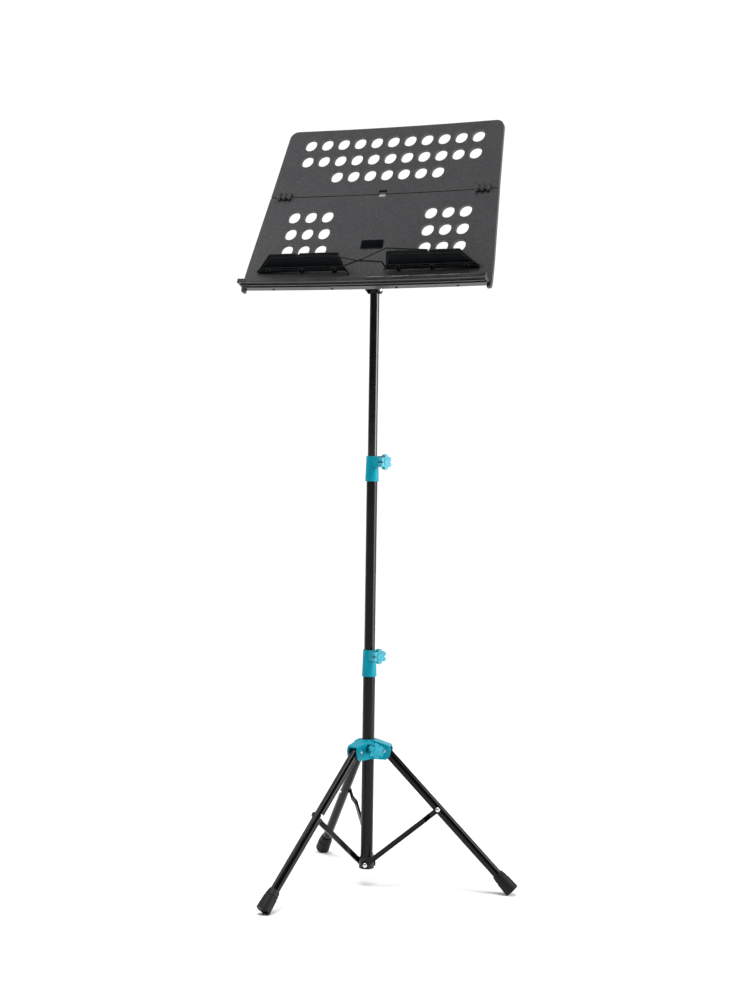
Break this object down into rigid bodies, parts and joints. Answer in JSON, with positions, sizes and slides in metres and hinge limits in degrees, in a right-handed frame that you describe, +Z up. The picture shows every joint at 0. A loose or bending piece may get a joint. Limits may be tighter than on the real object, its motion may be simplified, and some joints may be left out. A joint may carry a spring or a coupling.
{
  "type": "folding music stand",
  "caption": "Folding music stand with a perforated two-part desk, a telescoping column and a spring-free folding tripod.",
  "frame": {"origin": "on the floor under the column's axis, midway between the feet", "axes": "+Z up along the column, -Y towards the player, +X to the player's right"},
  "size_m": [0.5734, 0.5285, 1.5549],
  "materials": {
    "gloss_black_steel": "gloss black powder coat",
    "turquoise_plastic": "moulded turquoise plastic",
    "knob_plastic": "moulded turquoise plastic",
    "bracket_plastic": "moulded black plastic",
    "nylon": "black nylon",
    "foot_rubber": "soft charcoal rubber",
    "bright_steel": "bright plated steel",
    "desk_plastic": "fine-grained charcoal plastic",
    "flap_plastic": "near-black satin plastic",
    "catch_plastic": "light grey plastic",
    "wire_steel": "black coated spring wire",
    "cap_plastic": "black plastic"
  },
  "bodies": {
    "base": {"base_tube": "gloss_black_steel", "base_bracket": "bracket_plastic", "base_plug": "nylon", "bracket_rivets": "bright_steel", "lower_collar": "turquoise_plastic", "lower_bush": "nylon"},
    "lower_knob": {"lower_knob_grip": "knob_plastic", "lower_knob_stud": "bright_steel"},
    "hub_body": {"hub": "turquoise_plastic", "hub_pins": "bright_steel"},
    "hub_knob": {"hub_knob_grip": "knob_plastic", "hub_knob_stud": "bright_steel"},
    "middle": {"middle_tube": "gloss_black_steel", "middle_plug": "nylon", "upper_collar": "turquoise_plastic", "upper_bush": "nylon"},
    "upper_knob": {"upper_knob_grip": "knob_plastic", "upper_knob_stud": "bright_steel"},
    "upper_slide": {"upper_guide": "nylon"},
    "upper": {"upper_tube": "gloss_black_steel", "tube_head": "bracket_plastic"},
    "desk": {"lower_panel": "desk_plastic", "desk_bracket": "gloss_black_steel", "bracket_screws": "bright_steel", "book_tray": "desk_plastic", "tray_screws": "gloss_black_steel", "badge_plate": "flap_plastic", "fold_catch": "catch_plastic", "fold_hinge_pins": "bright_steel", "flap_hinge_pins": "bright_steel", "tilt_bolt": "bright_steel", "tilt_nut": "bright_steel", "lower_knuckles": "desk_plastic", "flap_lugs": "desk_plastic"},
    "top_panel": {"upper_panel": "desk_plastic", "upper_knuckles": "desk_plastic"},
    "flap_left_body": {"flap_left": "flap_plastic"},
    "flap_right_body": {"flap_right": "flap_plastic"},
    "wire_left_body": {"wire_left": "wire_steel", "wire_cap_left": "cap_plastic"},
    "wire_right_body": {"wire_right": "wire_steel", "wire_cap_right": "cap_plastic"},
    "leg_1": {"leg_tube_1": "gloss_black_steel", "leg_plug_1": "nylon", "foot_1": "foot_rubber", "leg_rivet_1": "bright_steel"},
    "strut_body_1": {"strut_1": "gloss_black_steel", "strut_rivet_1": "bright_steel"},
    "leg_2": {"leg_tube_2": "gloss_black_steel", "leg_plug_2": "nylon", "foot_2": "foot_rubber", "leg_rivet_2": "bright_steel"},
    "strut_body_2": {"strut_2": "gloss_black_steel", "strut_rivet_2": "bright_steel"},
    "leg_3": {"leg_tube_3": "gloss_black_steel", "leg_plug_3": "nylon", "foot_3": "foot_rubber", "leg_rivet_3": "bright_steel"},
    "strut_body_3": {"strut_3": "gloss_black_steel", "strut_rivet_3": "bright_steel"}
  },
  "joints": [
    {"name": "hub_slide", "type": "slide", "parent": "base", "child": "hub_body", "axis": [0, 0, 1], "range_m": [0, 0.1065]},
    {"name": "leg_fold_1", "type": "hinge", "parent": "hub_body", "child": "leg_1", "pos_m": [-0.01077, -0.03435, 0.2812], "axis": [0.9542, -0.299, 0], "range_deg": [0, 39]},
    {"name": "strut_fold_1", "type": "hinge", "parent": "base", "child": "strut_body_1", "pos_m": [0, 0, 0.0457], "axis": [-0.9542, 0.299, 0], "range_deg": [0, 35.28]},
    {"name": "leg_fold_2", "type": "hinge", "parent": "hub_body", "child": "leg_2", "pos_m": [0.03513, 0.00785, 0.2812], "axis": [-0.2181, 0.9759, 0], "range_deg": [0, 39]},
    {"name": "strut_fold_2", "type": "hinge", "parent": "base", "child": "strut_body_2", "pos_m": [0, 0, 0.0457], "axis": [0.2181, -0.9759, 0], "range_deg": [0, 35.28]},
    {"name": "leg_fold_3", "type": "hinge", "parent": "hub_body", "child": "leg_3", "pos_m": [-0.02437, 0.0265, 0.2812], "axis": [-0.7361, -0.6769, 0], "range_deg": [0, 39]},
    {"name": "strut_fold_3", "type": "hinge", "parent": "base", "child": "strut_body_3", "pos_m": [0, 0, 0.0457], "axis": [0.7361, 0.6769, 0], "range_deg": [0, 35.28]},
    {"name": "lower_height", "type": "slide", "parent": "base", "child": "middle", "axis": [0, 0, 1], "range_m": [-0.32, 0]},
    {"name": "upper_height", "type": "slide", "parent": "middle", "child": "upper_slide", "axis": [0, 0, 1], "range_m": [-0.32, 0]},
    {"name": "desk_swivel", "type": "hinge", "parent": "upper_slide", "child": "upper", "pos_m": [0, 0, 1], "axis": [0, 0, 1], "continuous": true},
    {"name": "desk_tilt", "type": "hinge", "parent": "upper", "child": "desk", "pos_m": [0, 0, 1.213], "axis": [1, 0, 0], "range_deg": [-60, 20]},
    {"name": "panel_fold", "type": "hinge", "parent": "desk", "child": "top_panel", "pos_m": [0, 0.02549, 1.40935], "axis": [1, 0, 0], "range_deg": [0, 166]},
    {"name": "flap_left_fold", "type": "hinge", "parent": "desk", "child": "flap_left_body", "pos_m": [-0.14, -0.04821, 1.25006], "axis": [1, 0, 0], "range_deg": [-50, 0]},
    {"name": "flap_right_fold", "type": "hinge", "parent": "desk", "child": "flap_right_body", "pos_m": [0.14, -0.04821, 1.25006], "axis": [1, 0, 0], "range_deg": [-50, 0]},
    {"name": "wire_left_swing", "type": "hinge", "parent": "desk", "child": "wire_left_body", "pos_m": [0.04, -0.03911, 1.25198], "axis": [0, -0.9111, 0.4122], "range_deg": [-60, 0]},
    {"name": "wire_right_swing", "type": "hinge", "parent": "desk", "child": "wire_right_body", "pos_m": [-0.04, -0.04364, 1.24196], "axis": [0, 0.9111, -0.4122], "range_deg": [-60, 0]},
    {"name": "lower_knob_turn", "type": "hinge", "parent": "base", "child": "lower_knob", "pos_m": [0.02487, -0.01678, 0.474], "axis": [0.829, -0.5592, 0], "range_deg": [0, 360]},
    {"name": "upper_knob_turn", "type": "hinge", "parent": "middle", "child": "upper_knob", "pos_m": [0.02801, -0.01075, 0.8655], "axis": [0.9336, -0.3584, 0], "range_deg": [0, 360]},
    {"name": "hub_knob_turn", "type": "hinge", "parent": "hub_body", "child": "hub_knob", "pos_m": [0.03046, -0.03312, 0.2847], "axis": [0.6769, -0.7361, 0], "range_deg": [0, 360]}
  ],
  "couplings": [
    {"joint": "leg_fold_1", "follows": "hub_slide", "rad_per_m": 6.3851},
    {"joint": "strut_fold_1", "follows": "hub_slide", "rad_per_m": 5.7763},
    {"joint": "leg_fold_2", "follows": "hub_slide", "rad_per_m": 6.3851},
    {"joint": "strut_fold_2", "follows": "hub_slide", "rad_per_m": 5.7763},
    {"joint": "leg_fold_3", "follows": "hub_slide", "rad_per_m": 6.3851},
    {"joint": "strut_fold_3", "follows": "hub_slide", "rad_per_m": 5.7763},
    {"joint": "wire_right_swing", "follows": "wire_left_swing", "ratio": 1}
  ]
}
